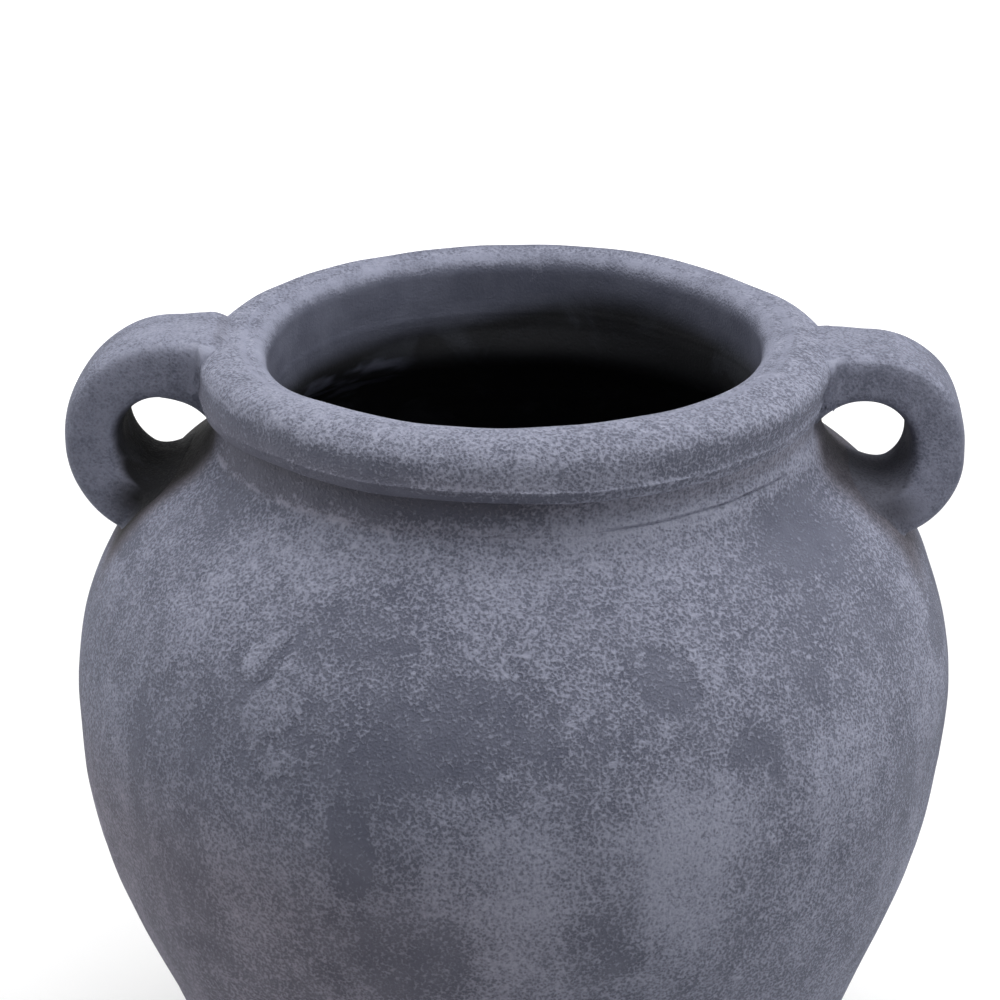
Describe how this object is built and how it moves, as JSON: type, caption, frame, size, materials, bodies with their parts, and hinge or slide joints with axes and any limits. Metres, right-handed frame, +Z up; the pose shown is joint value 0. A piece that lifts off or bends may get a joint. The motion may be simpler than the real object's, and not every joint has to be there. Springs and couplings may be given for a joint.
{
  "type": "two-handled storage jar",
  "caption": "Wide-bellied clay storage jar with a heavy rounded rim and strap handles that run from the rim down to the shoulder, for water, dry goods or planting.",
  "frame": {"origin": "centre of the base, on the surface that the jar stands on", "axes": "+Z up along the jar's axis, +X through the right-hand handle as seen from the front, +Y to the back"},
  "size_m": [0.304, 0.3, 0.32],
  "materials": {
    "washed_clay": "matt slate-grey coat with a paler gritty wash",
    "luting_clay": "matt, wiped smooth and washed like the walls",
    "raw_clay": "matt, finger-pressed"
  },
  "bodies": {
    "root": {"base_disc": "washed_clay", "base_coil": "raw_clay", "lower_wall": "washed_clay", "belly_coil": "raw_clay", "upper_wall": "washed_clay", "neck_collar": "washed_clay", "neck_coil": "washed_clay", "rim_ring": "washed_clay", "left_handle": "washed_clay", "right_handle": "washed_clay", "left_upper_lute": "luting_clay", "left_lower_lute": "luting_clay", "right_upper_lute": "luting_clay", "right_lower_lute": "luting_clay"}
  },
  "joints": []
}
